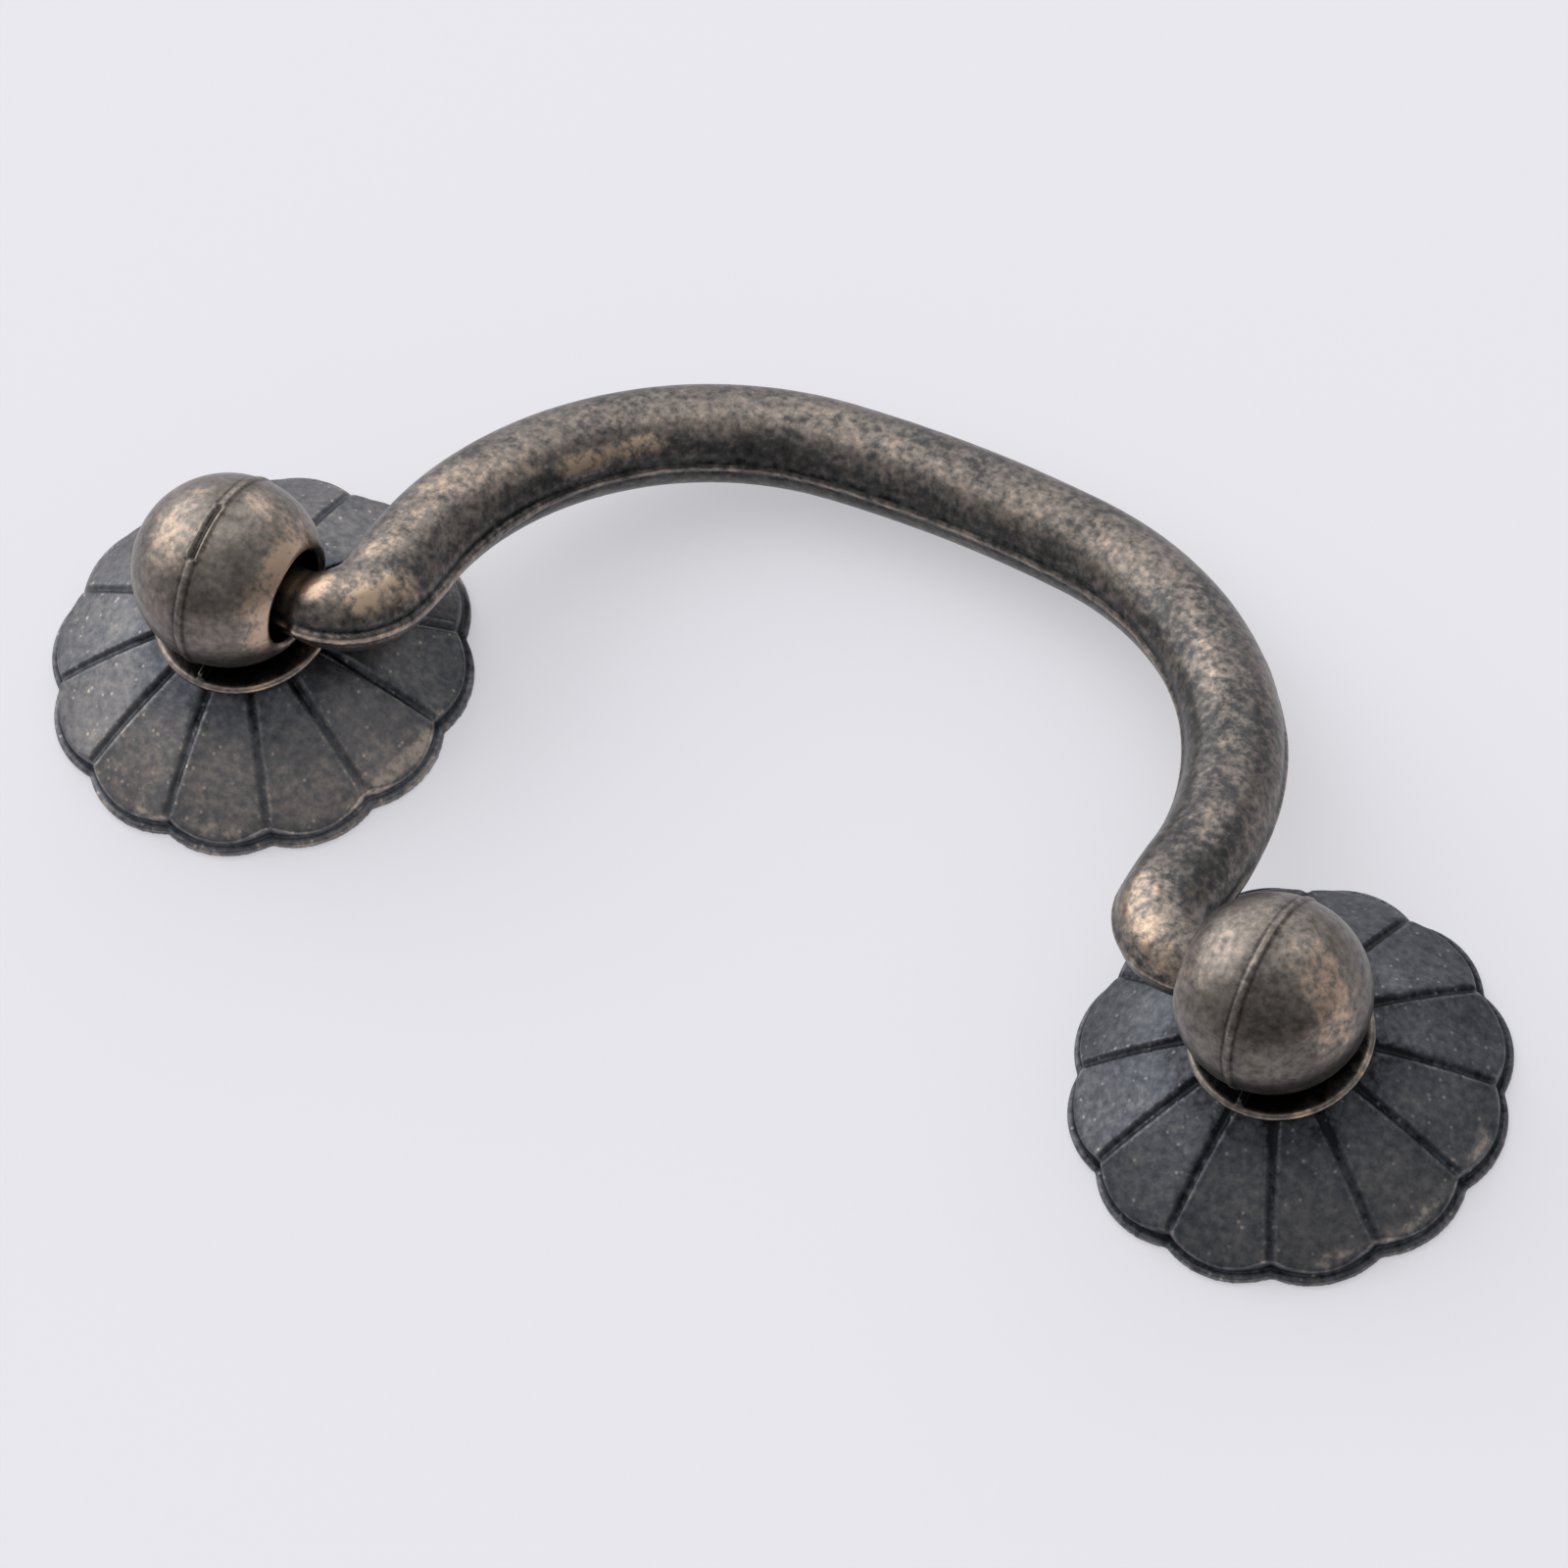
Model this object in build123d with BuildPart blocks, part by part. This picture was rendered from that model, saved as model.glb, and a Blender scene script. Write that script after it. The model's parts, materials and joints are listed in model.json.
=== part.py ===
"""Drop-bail drawer pull: a round bail hung between two ball posts on petalled rosettes.

Frame, in millimetres: the origin is midway between the two fixing holes, on the drawer front.
X runs along the holes, Z stands out from the drawer front, and the bail lies down towards +Y.
"""
import os
from math import asin, cos, degrees, radians, sin, sqrt

from build123d import *

# Fixing: two machine screws come through the drawer front into the posts
hole_spacing = 96.0
thread_radius = 1.65
thread_depth = 9.0

# Rosettes: thin domed castings with flat petals on a scalloped rim
petal_count = 12
rosette_radius = 18.1
scallop_depth = 0.9
rim_height = 0.75
rim_width = 0.6
rim_round = 0.25
seat_height = 8.5
seat_radius = 5.5
dome_edge_height = 1.35
dome_bulge = 0.6
petal_round = 0.4
rosette_wall = 1.5
groove_width = 1.4
groove_depth = 0.5
left_rosette_turn = 17.0
right_rosette_turn = 6.5

# Posts: stub, thin flange and ball in one casting, with a blind socket for the bail
ball_radius = 8.0
neck_radius = 4.35
flange_radius = 7.6
flange_thickness = 0.9
stub_radius = 3.9
stub_clearance = 0.2
socket_clearance = 0.35
socket_round = 0.5
socket_floor = 0.8
seam_width = 0.4
seam_height = 0.15
seam_web_height = 0.9

# Bail: round rod with a gently crowned bar, tight elbows and thinner tenons
rod_radius = 4.1
elbow_waist_radius = 3.6
tenon_radius = 2.8
tenon_drop = 0.7
tenon_end_gap = 0.5
tenon_chamfer = 0.5
elbow_inner_radius = 1.3
bail_reach = 38.0
crown_radius = 100.0
crown_half_angle = 6.5
rest_gap = 0.3
flash_width = 0.4
flash_height = 0.15

# Places that follow from the sizes above
post_x = hole_spacing / 2
petal_step = 360 / petal_count
petal_radius = rosette_radius - rim_width
middle_radius = (seat_radius + petal_radius) / 2
flange_top = seat_height + flange_thickness
ball_height = flange_top + sqrt(ball_radius**2 - neck_radius**2)
socket_radius = tenon_radius + flash_height + tenon_drop + socket_clearance
mouth_offset = sqrt(ball_radius**2 - socket_radius**2)
elbow_radius = elbow_waist_radius + elbow_inner_radius
bail_half_width = post_x - mouth_offset - elbow_radius
pivot_height = ball_height - tenon_drop
rest_tilt = degrees(asin((pivot_height - rod_radius - rest_gap) / bail_reach))


def polar(radius, angle):
    """Point at a radius and an angle in degrees."""
    return (radius * cos(radians(angle)), radius * sin(radians(angle)))


def upright_plane(centre_x, turn=0.0):
    """Vertical plane through a post's axis, turned about that axis."""
    outward = polar(1, turn) + (0,)
    normal = polar(1, turn - 90) + (0,)
    return Plane(origin=(centre_x, 0, 0), x_dir=outward, z_dir=normal)


def base_plane(centre_x, turn=0.0):
    """Drawer-front plane centred on a post, turned about the post's axis."""
    return Plane(origin=(centre_x, 0, 0), x_dir=polar(1, turn) + (0,), z_dir=(0, 0, 1))


def scalloped_edge(tip_radius):
    """Closed outline of petal ends, one arc from cusp to cusp over each petal."""
    cusp_radius = tip_radius - scallop_depth
    for petal in range(petal_count):
        middle = petal * petal_step
        ThreePointArc(
            polar(cusp_radius, middle - petal_step / 2),
            polar(tip_radius, middle),
            polar(cusp_radius, middle + petal_step / 2),
        )


def petal_height(radius):
    """Height of a petal's middle line at a radius, on a shallow bulge from seat to edge."""
    share = (radius - seat_radius) / (petal_radius - seat_radius)
    chord = seat_height + share * (dome_edge_height - seat_height)
    return chord + 4 * dome_bulge * share * (1 - share)


def make_groove(centre_x, turn):
    """V-shaped cutter along the crease between two petals, running out at the rim."""
    crease = upright_plane(centre_x, turn + petal_step / 2)
    stretch = 1 / cos(radians(petal_step / 2))
    outer_end = petal_radius / stretch
    with BuildPart() as groove:
        with BuildLine(crease) as bottom:
            ThreePointArc(
                (seat_radius * stretch, seat_height - groove_depth),
                (middle_radius * stretch, petal_height(middle_radius) - groove_depth),
                (outer_end * stretch, petal_height(outer_end) - groove_depth),
            )
        path = bottom.wire()
        with BuildSketch(Plane(origin=path @ 0, x_dir=crease.z_dir, z_dir=path % 0)):
            with BuildLine():
                Polyline(
                    (0, 0),
                    (2 * groove_width, -4 * groove_depth),
                    (-2 * groove_width, -4 * groove_depth),
                    close=True,
                )
            make_face()
        sweep(path=path)
    return groove.part


def make_rosette(name, centre_x, turn):
    """Flat petals where crossed barrel sections meet, grooved, rimmed and hollow at the back."""
    groove = make_groove(centre_x, turn)
    post_axis = Axis((centre_x, 0, 0), (0, 0, 1))
    with BuildPart() as rosette:
        with BuildSketch(base_plane(centre_x, turn)):
            with BuildLine():
                scalloped_edge(petal_radius)
            make_face()
        extrude(amount=seat_height)
        for petal in range(petal_count):
            with BuildSketch(upright_plane(centre_x, turn + petal * petal_step)):
                with BuildLine():
                    ThreePointArc(
                        (seat_radius, seat_height),
                        (middle_radius, petal_height(middle_radius)),
                        (petal_radius, dome_edge_height),
                    )
                    Polyline(
                        (petal_radius, dome_edge_height),
                        (petal_radius, 0),
                        (-petal_radius, 0),
                        (-petal_radius, seat_height),
                        (seat_radius, seat_height),
                    )
                make_face()
            extrude(amount=petal_radius, both=True, mode=Mode.INTERSECT)
        petal_ends = rosette.edges().filter_by(
            lambda edge: 0 < edge.center().Z < seat_height and abs((edge @ 0).Z - (edge @ 1).Z) < 0.01
        )
        fillet(petal_ends, petal_round)
        for petal in range(petal_count):
            add(groove.rotate(post_axis, petal * petal_step), mode=Mode.SUBTRACT)

        with BuildSketch(base_plane(centre_x, turn)):
            with BuildLine():
                scalloped_edge(rosette_radius)
            make_face()
        extrude(amount=rim_height)
        rim_edges = rosette.edges().filter_by_position(Axis.Z, rim_height, rim_height).filter_by(
            lambda edge: (edge @ 0.5 - Vector(centre_x, 0, rim_height)).length > rosette_radius - rim_width / 2
        )
        fillet(rim_edges, rim_round)

        with BuildSketch(upright_plane(centre_x)):
            with BuildLine():
                ThreePointArc(
                    (seat_radius, seat_height - rosette_wall),
                    (middle_radius - rosette_wall / 2, petal_height(middle_radius) - rosette_wall),
                    (petal_radius - rosette_wall, 0),
                )
                Polyline(
                    (petal_radius - rosette_wall, 0),
                    (0, 0),
                    (0, seat_height - rosette_wall),
                    (seat_radius, seat_height - rosette_wall),
                )
            make_face()
        revolve(axis=post_axis, mode=Mode.SUBTRACT)
        with BuildSketch(base_plane(centre_x)):
            Circle(stub_radius + stub_clearance)
        extrude(amount=seat_height, mode=Mode.SUBTRACT)
    rosette.part.label = name
    return rosette.part


def make_post(name, centre_x, inward):
    """Stub, flange and ball in one turned profile, with the parting seam, socket and thread."""
    flange_edge = flange_radius - flange_thickness / 2
    with BuildPart() as post:
        with BuildSketch(upright_plane(centre_x)):
            with BuildLine():
                Polyline((0, 0), (stub_radius, 0), (stub_radius, seat_height), (flange_edge, seat_height))
                ThreePointArc(
                    (flange_edge, seat_height),
                    (flange_radius, seat_height + flange_thickness / 2),
                    (flange_edge, flange_top),
                )
                Line((flange_edge, flange_top), (neck_radius, flange_top))
                ThreePointArc(
                    (neck_radius, flange_top),
                    (ball_radius, ball_height),
                    (0, ball_height + ball_radius),
                )
                Line((0, ball_height + ball_radius), (0, 0))
            make_face()
        revolve(axis=Axis((centre_x, 0, 0), (0, 0, 1)))
        with BuildSketch(Plane(origin=(centre_x, 0, ball_height), x_dir=(0, 1, 0), z_dir=(1, 0, 0))):
            Circle(ball_radius + seam_height)
            with Locations((0, seat_height - ball_height)):
                Rectangle(2 * flange_edge, flange_thickness + seam_web_height, align=(Align.CENTER, Align.MIN))
        extrude(amount=seam_width / 2, both=True)

        floor_x = centre_x + inward * socket_floor
        with BuildSketch(Plane(origin=(floor_x, 0, ball_height), z_dir=(inward, 0, 0))):
            Circle(socket_radius)
        extrude(amount=ball_radius, mode=Mode.SUBTRACT)
        mouth_x = centre_x + inward * mouth_offset
        mouth = post.edges().filter_by_position(Axis.X, mouth_x - seam_height, mouth_x + seam_height)
        fillet(mouth, socket_round)
        with BuildSketch(base_plane(centre_x)):
            Circle(thread_radius)
        extrude(amount=thread_depth, mode=Mode.SUBTRACT)
    post.part.label = name
    return post.part


def rod_section(radius):
    """Round section of the bail, with casting flash standing proud on both sides of its plane."""
    Circle(radius)
    Rectangle(2 * (radius + flash_height), flash_width)


def section_plane(path, place, across):
    """Plane square to a path at a share of its length, with its local y across the bail's plane."""
    along = path % place
    return Plane(origin=path @ place, x_dir=across.cross(along), z_dir=along)


def make_bail(name):
    """Half of the bail, swept from the crown to the tenon in its own plane, then mirrored."""
    tilt = radians(rest_tilt)
    plane = Plane(origin=(0, 0, pivot_height), x_dir=(1, 0, 0), z_dir=(0, sin(tilt), cos(tilt)))
    crown_centre = (0, bail_reach - crown_radius)
    crown_end = polar(crown_radius, 90 - crown_half_angle)
    shoulder_radius = (bail_half_width - crown_end[0]) / (1 - sin(radians(crown_half_angle)))
    shoulder_centre = (
        bail_half_width - shoulder_radius,
        crown_centre[1] + crown_end[1] - shoulder_radius * cos(radians(crown_half_angle)),
    )
    elbow_centre = (bail_half_width + elbow_radius, elbow_radius)
    tenon_length = post_x - socket_floor - tenon_end_gap - elbow_centre[0]
    with BuildPart() as bail:
        with BuildLine(plane) as bar:
            CenterArc(crown_centre, crown_radius, 90, -crown_half_angle)
            CenterArc(shoulder_centre, shoulder_radius, 90 - crown_half_angle, crown_half_angle - 90)
        bar_path = bar.wire()
        with BuildSketch(section_plane(bar_path, 0, plane.z_dir)):
            rod_section(rod_radius)
        sweep(path=bar_path)

        with BuildLine(plane) as elbow:
            Line((bail_half_width, shoulder_centre[1]), (bail_half_width, elbow_radius))
            CenterArc(elbow_centre, elbow_radius, 180, 90)
        elbow_path = elbow.wire()
        waist = 1 - radians(45) * elbow_radius / elbow_path.length
        for place, radius in ((0, rod_radius), (waist, elbow_waist_radius), (1, tenon_radius)):
            with BuildSketch(section_plane(elbow_path, place, plane.z_dir)):
                rod_section(radius)
        sweep(path=elbow_path, multisection=True)

        tenon_plane = section_plane(elbow_path, 1, plane.z_dir)
        with BuildSketch(tenon_plane):
            rod_section(tenon_radius)
        extrude(amount=tenon_length - tenon_chamfer)
        with BuildSketch(tenon_plane.offset(tenon_length - tenon_chamfer)):
            Circle(tenon_radius)
        extrude(amount=tenon_chamfer, taper=45)
        mirror(about=Plane.YZ)
    bail.part.label = name
    return bail.part


os.makedirs("parts", exist_ok=True)

left_rosette = make_rosette("left_rosette", -post_x, left_rosette_turn)
right_rosette = make_rosette("right_rosette", post_x, right_rosette_turn)
left_post = make_post("left_post", -post_x, 1)
right_post = make_post("right_post", post_x, -1)
bail = make_bail("bail")

for piece in (left_rosette, right_rosette, left_post, right_post, bail):
    export_step(piece, f"parts/{piece.label}.step")
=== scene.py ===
"""Antique bronze looks for a drop-bail drawer pull, laid out as a Blender add-on."""

import json
from math import cos, radians, sin

import bpy
import numpy as np
from bpy.props import FloatProperty, FloatVectorProperty, IntProperty, PointerProperty
from mathutils import Matrix, Vector

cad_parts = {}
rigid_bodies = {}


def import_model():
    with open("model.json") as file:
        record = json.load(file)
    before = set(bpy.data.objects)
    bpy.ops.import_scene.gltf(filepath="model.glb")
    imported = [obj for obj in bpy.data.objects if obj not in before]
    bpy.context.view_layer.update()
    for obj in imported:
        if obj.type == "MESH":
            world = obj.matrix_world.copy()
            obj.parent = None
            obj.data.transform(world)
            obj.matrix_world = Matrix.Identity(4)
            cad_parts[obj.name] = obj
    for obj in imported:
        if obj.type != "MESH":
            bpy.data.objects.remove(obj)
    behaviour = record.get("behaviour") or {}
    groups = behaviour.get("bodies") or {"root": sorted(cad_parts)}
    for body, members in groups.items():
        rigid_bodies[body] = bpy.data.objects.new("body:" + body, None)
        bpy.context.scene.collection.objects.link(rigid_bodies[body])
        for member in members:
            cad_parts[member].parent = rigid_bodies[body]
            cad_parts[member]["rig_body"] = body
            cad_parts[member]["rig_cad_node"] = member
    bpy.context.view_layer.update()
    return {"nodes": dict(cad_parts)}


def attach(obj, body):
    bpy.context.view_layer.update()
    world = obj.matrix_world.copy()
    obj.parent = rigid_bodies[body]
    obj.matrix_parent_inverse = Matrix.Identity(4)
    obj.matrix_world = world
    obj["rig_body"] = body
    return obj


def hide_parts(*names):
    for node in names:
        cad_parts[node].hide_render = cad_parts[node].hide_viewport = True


bl_info = {
    "name": "Antique Drawer Pull",
    "version": (1, 0, 0),
    "blender": (4, 5, 0),
    "location": "View3D > Sidebar > Drawer Pull",
    "description": "Gives a cast drawer pull its antique bronze finish and a studio to stand in",
    "category": "Object",
}

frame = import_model()

MM = 0.001

# Most triangles in the finished skin of one casting
SKIN_TRIANGLES = 190000

# Points of a node's mesh that are closer than this, in millimetres, are one point
MERGE_GAP = 0.001

# Length of the slow waves in the cast skin, in millimetres
WAVE_LENGTH = 4

# Places in the shared frame, in millimetres
POST_X = 48.0
BALL_HEIGHT = 16.11
SOCKET_RADIUS = 4.0
PIVOT_HEIGHT = 15.41
REST_TILT = radians(16.85)

# Where painted shade and darker patina darken the finish under the balls, in the ball-flange crevices and
# on the tenon ends in the sockets, in millimetres from the first value, with none, to the second
UNDER_BALL_PATINA_SHADE_REACH = (11.5, 7.6)
CREVICE_PATINA_SHADE_REACH = (7.5, 6.6)
CREVICE_PATINA_SHADE_HEIGHT = (12.8, 11.0)
TENON_PATINA_SHADE_REACH = (42.2, 43)

# Curvature in 1/mm where edges begin to wear and are worn, and where hollows begin and are deep
EDGE_CURVATURE = (0.15, 0.7)
HOLLOW_CURVATURE = (0.03, 0.25)

# Rounds that even out the curvature of edges and hollows, and that carry painted shade out of hollows onto
# the walls beside them
EDGE_ROUNDS = 4
HOLLOW_ROUNDS = 8
SHADE_BESIDE_HOLLOWS_ROUNDS = 60

# Share of a stroke's radius within which it marks fully
STROKE_CORE = 0.1

# Stretches rubbed through to the metal, in millimetres: start, end, radius and how bare
BAIL_RUBS = (
    ((-43.0, 0.4, 17.9), (-39.8, 0.8, 18.5), 2.4, 1.25),
    ((-36.0, 1.2, 18.2), (-33.6, 4.0, 17.1), 2.5, 0.8),
    ((-37.3, 5.9, 17.7), (-36.0, 11.4, 16.2), 2.4, 0.4),
    ((-36.5, 13.7, 15.5), (-32.1, 20.2, 13.1), 2.6, 0.35),
    ((-29.0, 22.0, 11.0), (-24.2, 28.0, 9.6), 1.4, 1.1),
    ((-26.9, 28.6, 10.8), (-11.0, 36.5, 8.6), 2.4, 0.15),
    ((-9.8, 35.8, 8.6), (13.4, 35.0, 8.8), 2.2, 0.15),
    ((13.4, 35.0, 8.8), (20.8, 33.5, 9.5), 2.0, 0.2),
    ((23.2, 32.5, 9.8), (30.8, 24.6, 12.1), 1.6, 0.25),
    ((30.8, 24.6, 12.1), (34.1, 19.8, 13.7), 1.6, 0.15),
    ((36.3, 12.7, 15.8), (36.3, 8.9, 17.0), 2.0, 0.2),
    ((35.2, 3.5, 18.1), (36.7, -0.1, 18.1), 3.8, 0.42),
    ((36.7, -0.1, 18.1), (39.7, -1.9, 17.6), 2.8, 0.6),
)
POST_RUBS = (
    ((-41.7, 3.1, 19.9), (-41.7, 0.0, 21.0), 2.6, 0.8),
    ((-41.7, 0.0, 21.0), (-41.7, -3.5, 19.5), 3.0, 1.15),
    ((-41.7, -3.5, 19.5), (-41.7, -4.9, 16.6), 2.6, 1.15),
    ((-45.5, 3.8, 22.7), (-43.3, 3.4, 21.6), 2.4, 0.35),
    ((-50.5, -3.0, 23.0), (-51.5, 1.5, 22.5), 3.4, 0.25),
    ((52.3, 0.7, 22.8), (54.9, -2.3, 19.2), 3.8, 0.5),
    ((42.7, -2.7, 21.5), (46.2, 2.7, 23.4), 3.8, 0.2),
    ((-43.4, -6.0, 8.9), (-40.6, 0.6, 8.9), 1.2, 0.9),
    ((52.6, -6.0, 8.9), (55.4, 0.6, 8.9), 1.2, 0.8),
)
ROSETTE_RUBS = (
    ((-33.7, -9.0, 1.6), (-31.3, -1.0, 1.6), 1.3, 1.0),
    ((-50.0, -16.7, 1.6), (-41.6, -15.5, 1.6), 1.1, 0.8),
    ((63.0, -7.6, 1.6), (64.7, 1.4, 1.6), 1.2, 0.9),
    ((58.0, -13.5, 1.6), (63.0, -7.6, 1.6), 1.2, 0.9),
)

# Stretches of painted shade and of painted light on the patina, in the same form
BAIL_PAINTED_SHADE = (
    ((24.0, 30.5, 10.0), (32.0, 21.0, 12.5), 7.0, 0.11),
    ((34.5, 20.0, 14.0), (37.5, 9.0, 17.0), 7.0, 0.09),
)
POST_PAINTED_SHADE = (
    ((50.0, -2.3, 23.5), (50.1, -5.7, 21.3), 2.6, 0.07),
    ((-52.0, -5.5, 12.5), (-44.6, -6.7, 13.3), 4.0, 0.08),
)
ROSETTE_PAINTED_SHADE = (
    ((40.0, 13.0, 2.5), (58.0, 12.0, 2.0), 9.0, 0.1),
    ((-63.0, -7.0, 2.0), (-60.0, 7.0, 2.0), 9.0, 0.08),
    ((-34.0, 4.0, 2.0), (-32.0, 8.0, 1.5), 7.0, 0.08),
)
ROSETTE_PAINTED_LIGHT = (
    ((-53.0, -13.5, 3.5), (-36.0, -11.5, 3.0), 6.0, 0.13),
    ((-36.0, -9.5, 3.0), (-32.0, -3.0, 2.0), 5.0, 0.12),
    ((52.0, -14.0, 3.0), (63.0, -6.0, 2.5), 7.0, 0.07),
)

# The stage, in metres. The table lies a hair under the rims, so that no two faces share a plane.
TABLE_WIDTH = 6
TABLE_HEIGHT = -0.05 * MM
LAMP_PLACE = (-1.8, 0.2, 0.85)
LAMP_WIDTH = 2.4
CLIP_RANGE = (0.01, 20)

# Way to the bright side of the room, and how nearly a direction points there as the light steps up
BRIGHT_WAY = (-0.5, 0.6, 0.62)
DIM_STEP = (-0.5, 0.2)
BRIGHT_STEP = (0.47, 0.77)
ROOM_TINT = (0.97, 0.98, 1, 1)

# What the camera looks at, in millimetres, and the width of its frame in millimetres
CAMERA_AIM = (-2.64, 7.91, 0)
FRAME_WIDTH = 36


def to_linear(hex_colour):
    """Linear red, green and blue of an sRGB hex colour."""
    parts = [int(hex_colour[place : place + 2], 16) / 255 for place in (1, 3, 5)]
    return tuple(part / 12.92 if part <= 0.04045 else ((part + 0.055) / 1.055) ** 2.4 for part in parts)


def colour_property(name, description, hex_colour):
    """Colour setting whose default is an sRGB hex value."""
    return FloatVectorProperty(
        name=name,
        description=description,
        default=to_linear(hex_colour),
        subtype="COLOR",
        min=0,
        max=1,
    )


def length_property(name, description, millimetres):
    """Length setting whose default is given in millimetres."""
    return FloatProperty(
        name=name,
        description=description,
        default=millimetres * MM,
        unit="LENGTH",
        precision=6,
    )


def angle_property(name, description, degrees):
    """Angle setting whose default is given in degrees."""
    return FloatProperty(name=name, description=description, default=radians(degrees), subtype="ANGLE")


def factor_property(name, description, share):
    """Share setting from 0 to 1."""
    return FloatProperty(name=name, description=description, default=share, subtype="FACTOR", min=0, max=1)


def light_property(name, description, strength):
    """Strength of the light from one part of the room."""
    return FloatProperty(name=name, description=description, default=strength)


def rounds_property(name, description, rounds):
    """Setting that counts rounds of one step."""
    return IntProperty(name=name, description=description, default=rounds)


class RosetteSettings(bpy.types.PropertyGroup):
    """Sizes and colours of the two petalled rosettes."""

    facet: length_property("Facet", "Length of one facet of the casting's skin", 0.16)
    softening: rounds_property("Softening", "Rounds of smoothing that soften the cast edges", 3)
    unevenness: length_property("Unevenness", "Height of the slow waves left in the cast skin", 0.02)
    edge_wear: factor_property("Edge Wear", "How bare the raised edges are rubbed", 0.48)
    # Hollow Dark darkens hollows for the patina kept there and as painted shade; the setting after it
    # paints shade on the walls beside hollows. The Shade colour is reached by patina and painted shade
    # alike.
    hollow_dark: factor_property("Hollow Dark", "How dark the patina is in hollows", 0.08)
    shade_beside_hollows: factor_property("Shade Beside Hollows", "How dark the patina is beside hollows", 0.45)
    patina: colour_property("Patina", "Blue-grey patina on the petals", "#505257")
    shade: colour_property("Shade", "Blue-black patina in the grooves", "#202124")
    bloom: colour_property("Bloom", "Paler grey bloom over the patina", "#747171")
    metal: colour_property("Metal", "Bronze rubbed bare on the rim", "#b6a89c")


class PostSettings(bpy.types.PropertyGroup):
    """Sizes and colours of the two ball posts."""

    facet: length_property("Facet", "Length of one facet of the casting's skin", 0.12)
    softening: rounds_property("Softening", "Rounds of smoothing that soften the cast edges", 2)
    unevenness: length_property("Unevenness", "Height of the slow waves left in the cast skin", 0.02)
    edge_wear: factor_property("Edge Wear", "How bare the raised edges are rubbed", 0.22)
    # Hollow Dark darkens hollows for the patina kept there and as painted shade; the setting after it
    # paints shade on the walls beside hollows. The Shade colour is reached by patina and painted shade
    # alike.
    hollow_dark: factor_property("Hollow Dark", "How dark the patina is in hollows", 0.2)
    shade_beside_hollows: factor_property("Shade Beside Hollows", "How dark the patina is beside hollows", 0.3)
    patina: colour_property("Patina", "Grey-brown patina on the balls", "#554f4b")
    shade: colour_property("Shade", "Black patina in the crevices", "#1f1f1f")
    bloom: colour_property("Bloom", "Paler tan bloom over the patina", "#7f7770")
    metal: colour_property("Metal", "Bronze rubbed bare on lips and seams", "#c0a691")


class BailSettings(bpy.types.PropertyGroup):
    """Sizes and colours of the bail."""

    facet: length_property("Facet", "Length of one facet of the casting's skin", 0.2)
    softening: rounds_property("Softening", "Rounds of smoothing that soften the cast edges", 2)
    unevenness: length_property("Unevenness", "Height of the slow waves left in the cast skin", 0.02)
    edge_wear: factor_property("Edge Wear", "How bare the raised edges are rubbed", 0.3)
    # Hollow Dark darkens hollows for the patina kept there and as painted shade; the setting after it
    # paints shade on the walls beside hollows. The Shade colour is reached by patina and painted shade
    # alike.
    hollow_dark: factor_property("Hollow Dark", "How dark the patina is in hollows", 0.2)
    shade_beside_hollows: factor_property("Shade Beside Hollows", "How dark the patina is beside hollows", 0.3)
    patina: colour_property("Patina", "Grey-brown patina on the rod", "#4f4d4c")
    shade: colour_property("Shade", "Black patina in pits and hollows", "#222222")
    bloom: colour_property("Bloom", "Paler tan bloom over the patina", "#847a72")
    metal: colour_property("Metal", "Copper-toned bronze rubbed bare by hands", "#c3aa93")


class StageSettings(bpy.types.PropertyGroup):
    """Table, lamp, room light and camera."""

    table: colour_property("Table", "Colour of the pale table", "#e9e8ed")
    glow: factor_property("Glow", "Share of the table's brightness that shadows leave", 0.52)
    side: FloatProperty(
        name="Side Lamp",
        description="Power of the soft lamp at the left",
        default=19,
        unit="POWER",
    )
    front: light_property("Front Light", "Light from the dark front of the room", 0.26)
    room: light_property("Room Light", "Light from the dim middle of the room", 0.56)
    sky: light_property("Window Light", "Light from the bright side of the room", 1.48)
    lens: FloatProperty(
        name="Lens",
        description="Focal length on a 36 mm frame",
        default=229.1,
        unit="CAMERA",
    )
    distance: length_property("Distance", "From the camera to the middle of the table", 819.0)
    azimuth: angle_property("Azimuth", "Turn of the camera round the pull", 41.44)
    elevation: angle_property("Elevation", "Height of the camera above the table", 59.9)
    roll: angle_property("Roll", "Lean of the camera to one side", -15.33)


class DrawerPullSettings(bpy.types.PropertyGroup):
    """All settings of the drawer pull."""

    rosettes: PointerProperty(type=RosetteSettings)
    posts: PointerProperty(type=PostSettings)
    bail: PointerProperty(type=BailSettings)
    stage: PointerProperty(type=StageSettings)


def per_mm(size):
    """Texture scale whose pattern repeats about every so many millimetres."""
    return 1 / (size * MM)


def add_node(tree, kind, inputs=None, **settings):
    """Add a node, set its settings, and set or link its inputs."""
    node = tree.nodes.new(kind)
    for setting, value in settings.items():
        setattr(node, setting, value)
    for socket, value in (inputs or {}).items():
        if isinstance(value, bpy.types.NodeSocket):
            tree.links.new(value, node.inputs[socket])
        else:
            node.inputs[socket].default_value = value
    return node


def apply_modifier(piece, kind, **settings):
    """Add a modifier to the active piece, set it and apply it."""
    modifier = piece.modifiers.new(kind.title(), kind)
    for setting, value in settings.items():
        setattr(modifier, setting, value)
    bpy.ops.object.modifier_apply(modifier=modifier.name)


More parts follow.
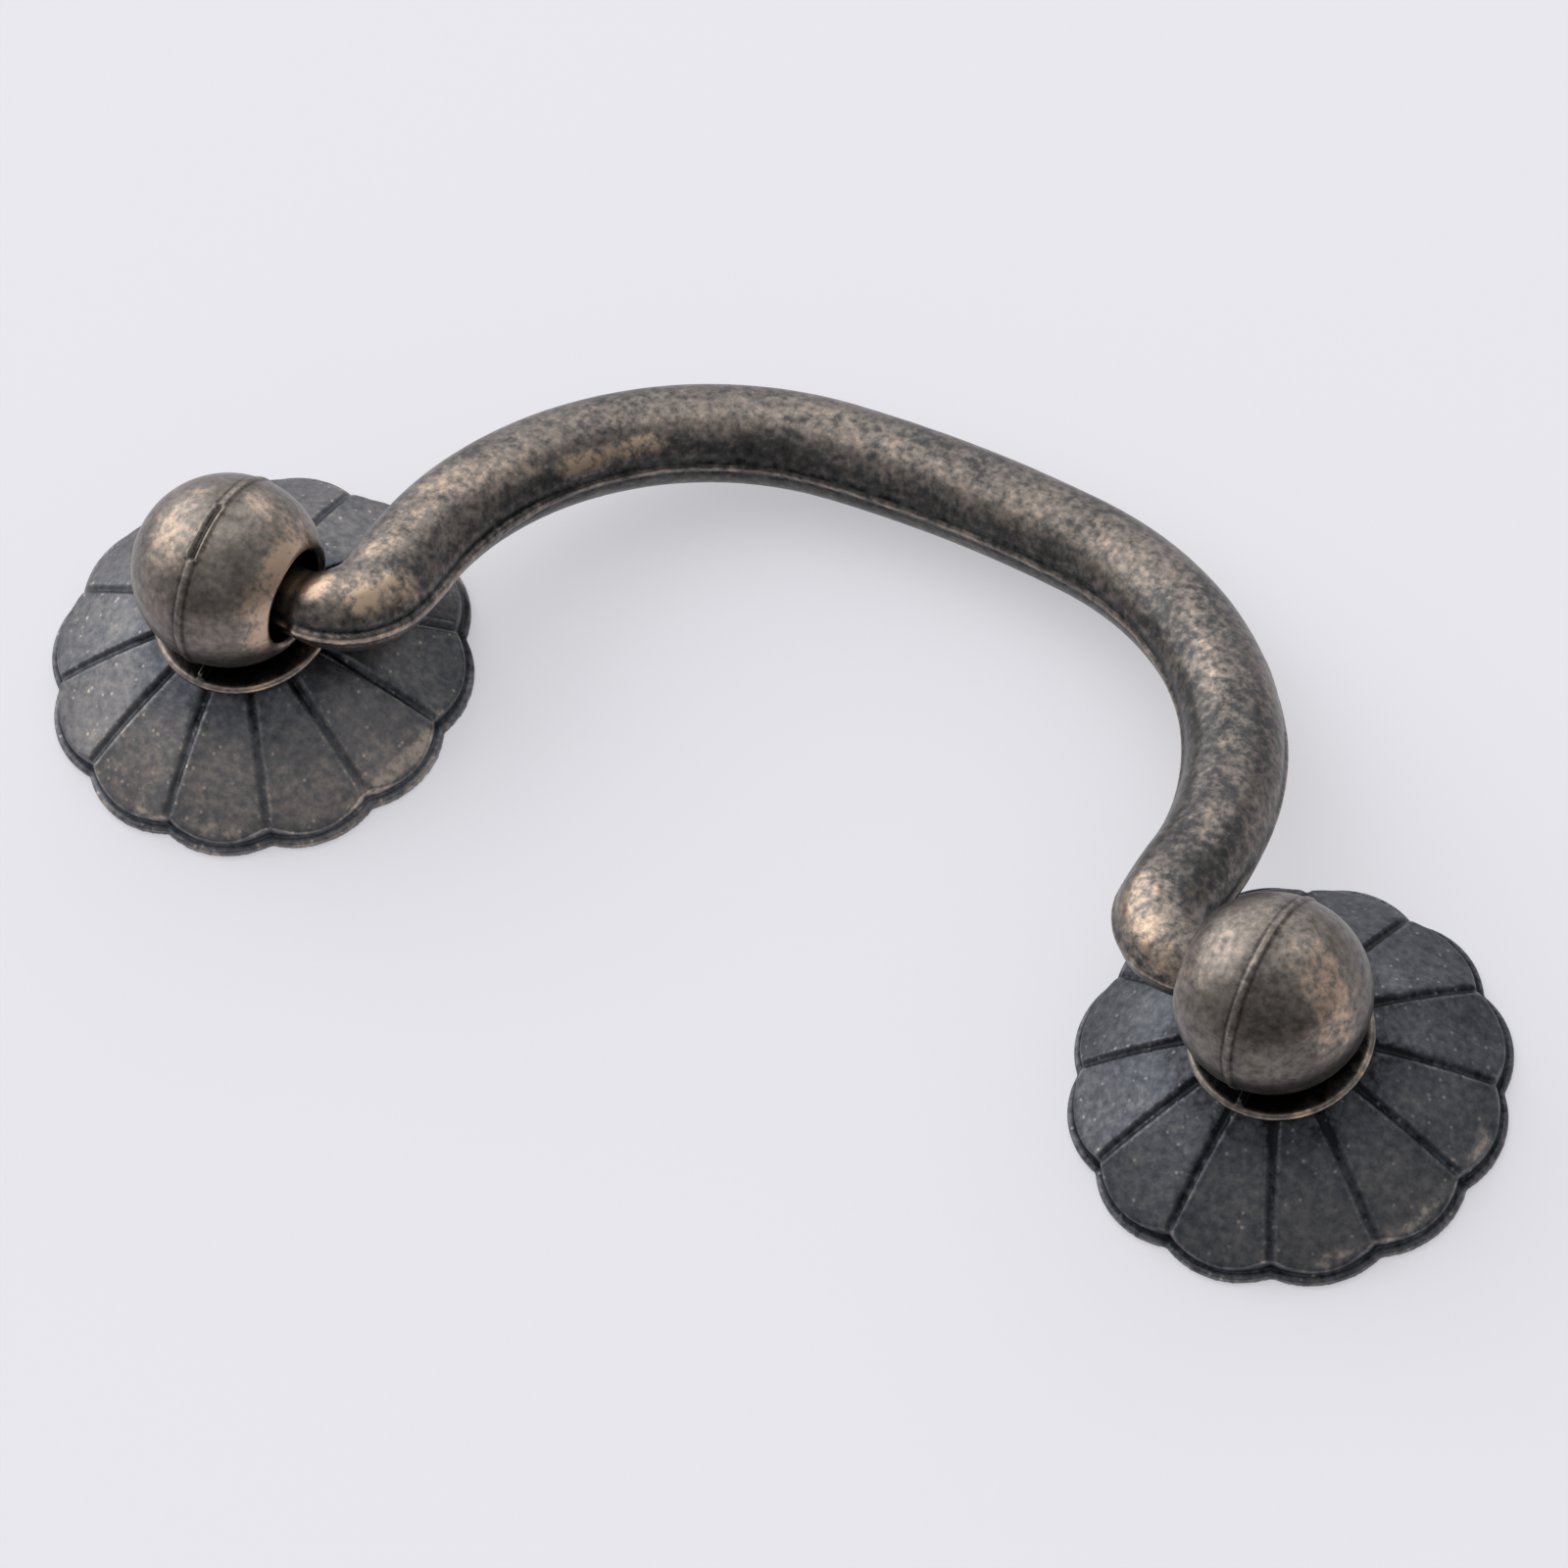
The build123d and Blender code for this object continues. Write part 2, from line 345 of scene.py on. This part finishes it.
def cast_skin(node, name, settings):
    """Copy a node of the frame as one closed skin with the soft edges of a casting."""
    bpy.ops.object.select_all(action="DESELECT")
    source = frame["nodes"][node]
    source.select_set(True)
    bpy.context.view_layer.objects.active = source
    bpy.ops.object.duplicate()
    piece = bpy.context.active_object
    piece.name = name
    piece.data.name = name
    del piece["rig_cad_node"]
    bpy.ops.object.mode_set(mode="EDIT")
    bpy.ops.mesh.select_all(action="SELECT")
    bpy.ops.mesh.remove_doubles(threshold=MERGE_GAP * MM)
    bpy.ops.object.mode_set(mode="OBJECT")
    apply_modifier(piece, "REMESH", mode="VOXEL", voxel_size=settings.facet)
    apply_modifier(piece, "SMOOTH", factor=0.5, iterations=settings.softening)
    waves = bpy.data.textures.new(name + "_waves", "CLOUDS")
    waves.noise_scale = WAVE_LENGTH * MM
    waves.noise_depth = 1
    apply_modifier(
        piece,
        "DISPLACE",
        texture=waves,
        texture_coords="LOCAL",
        strength=settings.unevenness,
        mid_level=0.5,
    )
    bpy.ops.object.shade_smooth()
    return piece


def mesh_arrays(mesh):
    """Places, normals and edge ends of a mesh as arrays."""
    places = np.empty(3 * len(mesh.vertices), np.float32)
    mesh.vertices.foreach_get("co", places)
    normals = np.empty(3 * len(mesh.vertices), np.float32)
    mesh.vertex_normals.foreach_get("vector", normals)
    ends = np.empty(2 * len(mesh.edges), np.int32)
    mesh.edges.foreach_get("vertices", ends)
    return places.reshape(-1, 3), normals.reshape(-1, 3), ends.reshape(-1, 2).T


def places_mm(piece):
    """Places of a piece's vertices in millimetres."""
    return mesh_arrays(piece.data)[0] / MM


def neighbours(first, second, count):
    """How many edges meet at each vertex, and at least one."""
    return np.maximum(np.bincount(first, minlength=count) + np.bincount(second, minlength=count), 1)


def spread(mesh, values, rounds):
    """Even out values at the vertices of a mesh with those of their neighbours."""
    first, second = mesh_arrays(mesh)[2]
    count = len(values)
    touching = neighbours(first, second, count)
    for _ in range(rounds):
        shared = np.bincount(first, values[second], count) + np.bincount(second, values[first], count)
        values = (values + shared / touching) / 2
    return values


def curvature(mesh, rounds):
    """Curvature in 1/mm at each vertex, above zero on ridges and below zero in grooves, evened out."""
    places, normals, (first, second) = mesh_arrays(mesh)
    count = len(places)
    span = places[second] - places[first]
    square = np.maximum((span * span).sum(1), 1e-12)
    rise = -(normals[first] * span).sum(1) / square
    back = (normals[second] * span).sum(1) / square
    total = np.bincount(first, rise, count) + np.bincount(second, back, count)
    return spread(mesh, total / neighbours(first, second, count) * MM, rounds)


def ramp(values, none, full):
    """Smooth step from 0 at none to 1 at full, whichever of the two is the larger."""
    share = np.clip((values - none) / (full - none), 0, 1)
    return share * share * (3 - 2 * share)


def marks(places, strokes):
    """How strongly strokes, given in millimetres, mark each place."""
    strongest = np.zeros(len(places))
    for start, end, radius, strength in strokes:
        along = np.subtract(end, start)
        share = np.clip((places - start) @ along / (along @ along), 0, 1)
        gap = np.linalg.norm(places - start - np.outer(share, along), axis=1)
        strongest = np.maximum(strongest, strength * ramp(gap, radius, STROKE_CORE * radius))
    return strongest


def stand_proud(piece, weights, height):
    """Raise the skin of a piece by a height in millimetres where the weights say."""
    group = piece.vertex_groups.new(name="proud")
    for index in np.flatnonzero(weights > 0.01):
        group.add([int(index)], float(weights[index]), "REPLACE")
    apply_modifier(piece, "DISPLACE", vertex_group=group.name, mid_level=0, strength=height * MM)
    piece.vertex_groups.clear()


def thin_skin(piece):
    """Merge the flattest facets of the active piece until it is within its number of triangles."""
    piece.data.calc_loop_triangles()
    triangles = len(piece.data.loop_triangles)
    if triangles > SKIN_TRIANGLES:
        apply_modifier(piece, "DECIMATE", decimate_type="COLLAPSE", ratio=SKIN_TRIANGLES / triangles)


def antique_bronze(name, settings, wear, mottle, specked):
    """Die-cast zinc, bronze plated, blackened, then rubbed back and lacquered matt.

    The eye sees a brown-grey metal with a soft sheen, finely mottled and pitted,
    black in its hollows and copper-toned where hands and cloths have rubbed it through.
    """
    material = bpy.data.materials.new(name)
    material.use_nodes = True
    tree = material.node_tree
    tree.nodes.clear()
    place = add_node(tree, "ShaderNodeTexCoord").outputs["Object"]
    worn = add_node(tree, "ShaderNodeAttribute", attribute_name="worn").outputs["Fac"]
    tone = add_node(tree, "ShaderNodeAttribute", attribute_name="tone").outputs["Fac"]

    # Clouds left by the rubbing cloth, blotches of patina and the grain of the cast skin,
    # each with its size in millimetres
    clouds, blotches, grain = (
        add_node(
            tree,
            "ShaderNodeTexNoise",
            {"Vector": place, "Scale": per_mm(size), "Detail": detail, "Roughness": 0.6},
        ).outputs["Fac"]
        for size, detail in ((7, 2), (2.2, 4), (0.7, 3))
    )

    # Pin-head specks a millimetre apart and a third of that across, where high spots lost their patina
    cells = add_node(tree, "ShaderNodeTexVoronoi", {"Vector": place, "Scale": per_mm(1.0)}).outputs
    chosen = add_node(
        tree,
        "ShaderNodeMath",
        {0: cells["Color"], 1: 0.3},
        operation="GREATER_THAN",
    ).outputs["Value"]
    specks = add_node(
        tree,
        "ShaderNodeMapRange",
        {"Value": cells["Distance"], "From Min": 0.21, "From Max": 0.08, "To Max": chosen},
    ).outputs["Result"]

    # Wear is strongest on the high grain and uneven from blotch to blotch, so its edges are ragged
    bare = worn
    for pattern, low, high, least, most in (
        (grain, 0.34, 0.66, 0.42, 1.05),
        (blotches, 0.36, 0.64, 0.55, 1.2),
    ):
        share = add_node(
            tree,
            "ShaderNodeMapRange",
            {"Value": pattern, "From Min": low, "From Max": high, "To Min": least, "To Max": most},
        ).outputs["Result"]
        bare = add_node(tree, "ShaderNodeMath", {0: bare, 1: share}, operation="MULTIPLY").outputs["Value"]

    # How far the finish is rubbed through, from 0 for black patina to 1 for bare metal.
    # The three patterns add 0.9 of the mottle on average, which the start takes off again.
    rubbed = 0.4 - 0.9 * mottle
    # The tone attribute brings each piece's lighter or darker patina together with its painted shade and
    # painted light
    for source, share in (
        (clouds, 0.4 * mottle),
        (blotches, 0.4 * mottle),
        (grain, mottle),
        (specks, specked),
        (bare, wear),
        (tone, 1.0),
    ):
        rubbed = add_node(
            tree,
            "ShaderNodeMath",
            {0: source, 1: share, 2: rubbed},
            operation="MULTIPLY_ADD",
        ).outputs["Value"]
    scale = add_node(tree, "ShaderNodeValToRGB", {"Fac": rubbed})
    stops = scale.color_ramp.elements
    while len(stops) < 4:
        stops.new(0.5)
    for stop, level, colour in zip(
        stops,
        (0, 0.3, 0.55, 0.9),
        (settings.shade, settings.patina, settings.bloom, settings.metal),
    ):
        stop.position = level
        stop.color = (*colour, 1)

    roughness = add_node(
        tree,
        "ShaderNodeMapRange",
        {"Value": rubbed, "To Min": 0.38, "To Max": 0.3},
    ).outputs["Result"]
    bump = add_node(
        tree,
        "ShaderNodeBump",
        {"Height": grain, "Strength": 0.35, "Distance": 0.08 * MM},
    ).outputs["Normal"]
    shader = add_node(
        tree,
        "ShaderNodeBsdfPrincipled",
        {"Base Color": scale.outputs["Color"], "Metallic": 1, "Roughness": roughness, "Normal": bump},
    ).outputs["BSDF"]
    add_node(tree, "ShaderNodeOutputMaterial", {"Surface": shader})
    return material


def paint(mesh, name, values):
    """Store one number at each vertex of a mesh for its material to read."""
    attribute = mesh.attributes.new(name, "FLOAT", "POINT")
    attribute.data.foreach_set("value", np.asarray(values, np.float32))


def finish_piece(piece, node, material, settings, worn, tone):
    """Put a casting in its node's place, with its material, its wear and its depth of tone painted on,
    darker in hollows for patina and painted shade, and with painted shade beside them.
    """
    mesh = piece.data
    mesh.materials.clear()
    mesh.materials.append(material)
    edges = settings.edge_wear * ramp(curvature(mesh, EDGE_ROUNDS), *EDGE_CURVATURE)
    hollows = ramp(-curvature(mesh, HOLLOW_ROUNDS), *HOLLOW_CURVATURE)
    # Painted shade carried out of the hollows onto the walls beside them
    beside = spread(mesh, hollows, SHADE_BESIDE_HOLLOWS_ROUNDS)
    paint(mesh, "worn", np.maximum(worn, edges))
    paint(mesh, "tone", tone - settings.hollow_dark * hollows - settings.shade_beside_hollows * beside)
    thin_skin(piece)
    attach(piece, frame["nodes"][node]["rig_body"])
    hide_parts(node)


class DRAWERPULL_OT_rosettes(bpy.types.Operator):
    """Cast the two petalled rosettes in blackened bronze"""

    bl_idname = "drawerpull.rosettes"
    bl_label = "Cast Rosettes"

    def execute(self, context):
        settings = context.scene.drawer_pull.rosettes
        material = antique_bronze("Blackened bronze plate", settings, wear=0.6, mottle=0.58, specked=0.3)
        for node, side, lift in (("left_rosette", -1, 0.07), ("right_rosette", 1, -0.07)):
            piece = cast_skin(node, node + "_casting", settings)
            places = places_mm(piece)
            reach = np.hypot(places[:, 0] - side * POST_X, places[:, 1])
            # Painted shade, with darker patina, on the petals under the ball
            under_ball_patina_and_shade = ramp(reach, *UNDER_BALL_PATINA_SHADE_REACH)
            worn = marks(places, ROSETTE_RUBS)
            tone = lift + marks(places, ROSETTE_PAINTED_LIGHT) - marks(places, ROSETTE_PAINTED_SHADE) - 0.2 * under_ball_patina_and_shade
            finish_piece(piece, node, material, settings, worn, tone)
        return {"FINISHED"}


class DRAWERPULL_OT_posts(bpy.types.Operator):
    """Cast the two ball posts in aged bronze"""

    bl_idname = "drawerpull.posts"
    bl_label = "Cast Posts"

    def execute(self, context):
        settings = context.scene.drawer_pull.posts
        material = antique_bronze("Aged bronze plate", settings, wear=0.75, mottle=0.62, specked=0.05)
        for node, side, lift in (("left_post", -1, 0.09), ("right_post", 1, 0.03)):
            piece = cast_skin(node, node + "_casting", settings)
            if side < 0:
                self.split_seam(piece)
            places = places_mm(piece)
            reach = np.hypot(places[:, 0] - side * POST_X, places[:, 1])
            # Painted shade, with dark patina, in the gap between ball and flange and inside the socket's
            # bore
            crevice = ramp(reach, *CREVICE_PATINA_SHADE_REACH) * ramp(places[:, 2], *CREVICE_PATINA_SHADE_HEIGHT)
            bore = np.hypot(places[:, 1], places[:, 2] - BALL_HEIGHT)
            inner_half = side * places[:, 0] < POST_X - 0.5
            socket = ramp(bore, SOCKET_RADIUS + 0.15, SOCKET_RADIUS - 0.1) * inner_half
            worn = marks(places, POST_RUBS)
            tone = lift - marks(places, POST_PAINTED_SHADE) - 0.5 * np.maximum(crevice, socket)
            finish_piece(piece, node, material, settings, worn, tone)
        return {"FINISHED"}

    @staticmethod
    def split_seam(piece):
        """Part the left ball's mould seam into two thin ridges over its top, with a valley between."""
        places = places_mm(piece)
        turn = np.degrees(np.arctan2(places[:, 2] - BALL_HEIGHT, places[:, 1]))
        stretch = ramp(turn, 77, 79) * ramp(turn, 117, 115)
        across = np.abs(places[:, 0] + POST_X)
        ridges = ramp(np.abs(across - 0.38), 0.2, 0.06)
        valley = ramp(across, 0.22, 0.1)
        stand_proud(piece, stretch * ridges, 0.22)
        stand_proud(piece, stretch * valley, -0.2)


class DRAWERPULL_OT_bail(bpy.types.Operator):
    """Cast the bail in aged bronze with copper-toned wear"""

    bl_idname = "drawerpull.bail"
    bl_label = "Cast Bail"

    def execute(self, context):
        settings = context.scene.drawer_pull.bail
        material = antique_bronze("Hand-worn bronze plate", settings, wear=0.75, mottle=0.75, specked=0.1)
        piece = cast_skin("bail", "bail_casting", settings)

        # Casting flash is ragged along the parting line and heaviest round the left elbow
        x, y, z = places_mm(piece).T
        off_plane = np.abs(sin(REST_TILT) * y + cos(REST_TILT) * (z - PIVOT_HEIGHT))
        ragged = 0.5 + 0.25 * np.sin(0.9 * x) + 0.25 * np.sin(2.3 * x + y)
        heavy = ramp(x, -26, -32) * ramp(x, -41, -40) * ramp(y, 24, 16)
        thin_flash = ragged * ramp(off_plane, 0.4, 0.15)
        thick_flash = heavy * ramp(off_plane, 0.55, 0.35)
        stand_proud(piece, np.maximum(0.4 * thin_flash, thick_flash), 0.3)

        # The flash is rubbed pale and carries a painted highlight, with a painted shadow beside it; the
        # front of the rod facing away from the light and the tenon ends in the sockets get painted shade
        places = places_mm(piece)
        normals = mesh_arrays(piece.data)[1]
        flash_wear_and_highlight = 0.2 * np.maximum(0.5 + 0.5 * ragged, heavy) * ramp(off_plane, 0.3, 0.1)
        beside = ramp(np.abs(off_plane - 0.75), 0.4, 0.1)
        # Painted shade on the front of the rod, which faces away from the light
        shaded = ramp(normals @ (0.55, -0.83, 0), 0.25, 0.75) * ramp(places[:, 1], 2, 12)
        # Painted shade, with darker patina, on the tenon ends inside the sockets
        tenon_patina_and_shade = ramp(np.abs(places[:, 0]), *TENON_PATINA_SHADE_REACH)
        worn = marks(places, BAIL_RUBS)
        tone = flash_wear_and_highlight - marks(places, BAIL_PAINTED_SHADE)
        tone -= 0.12 * beside + 0.11 * shaded + 0.3 * tenon_patina_and_shade
        finish_piece(piece, "bail", material, settings, worn, tone)
        return {"FINISHED"}


class DRAWERPULL_OT_stage(bpy.types.Operator):
    """Set the pale table, the soft lamp, the room light and the camera"""

    bl_idname = "drawerpull.stage"
    bl_label = "Set Stage"

    def execute(self, context):
        settings = context.scene.drawer_pull.stage
        scene = context.scene
        scene.view_settings.view_transform = "Standard"
        self.set_table(context, settings)
        self.set_lamp(context, settings)
        scene.world = self.room(settings)
        scene.camera = self.set_camera(context, settings)
        return {"FINISHED"}

    @staticmethod
    def set_table(context, settings):
        """Lay the pale table, whose own glow keeps it bright while it still takes the shadow."""
        bpy.ops.object.select_all(action="DESELECT")
        bpy.ops.mesh.primitive_plane_add(size=TABLE_WIDTH, location=(0, 0, TABLE_HEIGHT))
        table = context.active_object
        table.name = "table"
        material = bpy.data.materials.new("Pale table")
        material.use_nodes = True
        tree = material.node_tree
        tree.nodes.clear()
        rays = add_node(tree, "ShaderNodeLightPath").outputs
        seen = 0.0
        for ray in ("Is Camera Ray", "Is Glossy Ray", "Is Transmission Ray"):
            seen = add_node(
                tree,
                "ShaderNodeMath",
                {0: rays[ray], 1: settings.glow, 2: seen},
                operation="MULTIPLY_ADD",
            ).outputs["Value"]
        lit = add_node(tree, "ShaderNodeBsdfDiffuse", {"Color": (*settings.table, 1)}).outputs["BSDF"]
        even = add_node(tree, "ShaderNodeEmission", {"Color": (*settings.table, 1)}).outputs["Emission"]
        surface = add_node(tree, "ShaderNodeMixShader", {"Fac": seen, 1: lit, 2: even}).outputs["Shader"]
        add_node(tree, "ShaderNodeOutputMaterial", {"Surface": surface})
        table.data.materials.append(material)

    @staticmethod
    def set_lamp(context, settings):
        """Hang the wide soft lamp at the left."""
        bpy.ops.object.light_add(type="AREA", location=LAMP_PLACE)
        lamp = context.active_object
        lamp.name = "side_lamp"
        lamp.data.energy = settings.side
        lamp.data.size = LAMP_WIDTH
        lamp.rotation_euler = Vector(LAMP_PLACE).to_track_quat("Z", "Y").to_euler()

    @staticmethod
    def room(settings):
        """Room light that is bright behind to the left, dim overhead and dark at the front."""
        world = bpy.data.worlds.new("Room")
        world.use_nodes = True
        tree = world.node_tree
        tree.nodes.clear()
        direction = add_node(tree, "ShaderNodeTexCoord").outputs["Generated"]
        brightness = add_node(
            tree,
            "ShaderNodeVectorMath",
            {0: direction, 1: BRIGHT_WAY},
            operation="DOT_PRODUCT",
        ).outputs["Value"]
        strength = settings.front
        for (low, high), gain in (
            (DIM_STEP, settings.room - settings.front),
            (BRIGHT_STEP, settings.sky - settings.room),
        ):
            step = add_node(
                tree,
                "ShaderNodeMapRange",
                {"Value": brightness, "From Min": low, "From Max": high, "To Max": gain},
                interpolation_type="SMOOTHSTEP",
            ).outputs["Result"]
            strength = add_node(
                tree,
                "ShaderNodeMath",
                {0: step, 1: strength},
                operation="ADD",
            ).outputs["Value"]
        background = add_node(
            tree,
            "ShaderNodeBackground",
            {"Color": ROOM_TINT, "Strength": strength},
        ).outputs["Background"]
        add_node(tree, "ShaderNodeOutputWorld", {"Surface": background})
        return world

    @staticmethod
    def set_camera(context, settings):
        """Stand the camera at its distance and turn, leaning to one side."""
        bpy.ops.object.camera_add()
        camera = context.active_object
        camera.name = "camera"
        camera.data.sensor_width = FRAME_WIDTH
        camera.data.lens = settings.lens
        camera.data.clip_start, camera.data.clip_end = CLIP_RANGE
        away = Vector(
            (
                sin(settings.azimuth) * cos(settings.elevation),
                -cos(settings.azimuth) * cos(settings.elevation),
                sin(settings.elevation),
            )
        )
        level = Vector((cos(settings.azimuth), sin(settings.azimuth), 0))
        upward = away.cross(level)
        right = cos(settings.roll) * level + sin(settings.roll) * upward
        up = -sin(settings.roll) * level + cos(settings.roll) * upward
        place = Vector(CAMERA_AIM) * MM + settings.distance * away
        turn = Matrix((right, up, away)).transposed().to_4x4()
        camera.matrix_world = Matrix.Translation(place) @ turn
        return camera


class DRAWERPULL_PT_sidebar(bpy.types.Panel):
    """Sidebar list of the drawer pull's settings and steps"""

    bl_idname = "DRAWERPULL_PT_sidebar"
    bl_label = "Drawer Pull"
    bl_space_type = "VIEW_3D"
    bl_region_type = "UI"
    bl_category = "Drawer Pull"

    def draw(self, context):
        for part, step in (
            ("rosettes", DRAWERPULL_OT_rosettes),
            ("posts", DRAWERPULL_OT_posts),
            ("bail", DRAWERPULL_OT_bail),
            ("stage", DRAWERPULL_OT_stage),
        ):
            settings = getattr(context.scene.drawer_pull, part)
            box = self.layout.box()
            for setting in settings.__annotations__:
                box.prop(settings, setting)
            box.operator(step.bl_idname)


CLASSES = (
    RosetteSettings,
    PostSettings,
    BailSettings,
    StageSettings,
    DrawerPullSettings,
    DRAWERPULL_OT_rosettes,
    DRAWERPULL_OT_posts,
    DRAWERPULL_OT_bail,
    DRAWERPULL_OT_stage,
    DRAWERPULL_PT_sidebar,
)


def register():
    """Register the settings, the operators and the panel."""
    for made in CLASSES:
        bpy.utils.register_class(made)
    bpy.types.Scene.drawer_pull = PointerProperty(type=DrawerPullSettings)


def unregister():
    """Take the settings, the operators and the panel out again."""
    del bpy.types.Scene.drawer_pull
    for made in reversed(CLASSES):
        bpy.utils.unregister_class(made)


def main():
    """Build every piece and the stage."""
    register()
    bpy.ops.drawerpull.rosettes()
    bpy.ops.drawerpull.posts()
    bpy.ops.drawerpull.bail()
    bpy.ops.drawerpull.stage()


if __name__ == "__main__":
    main()
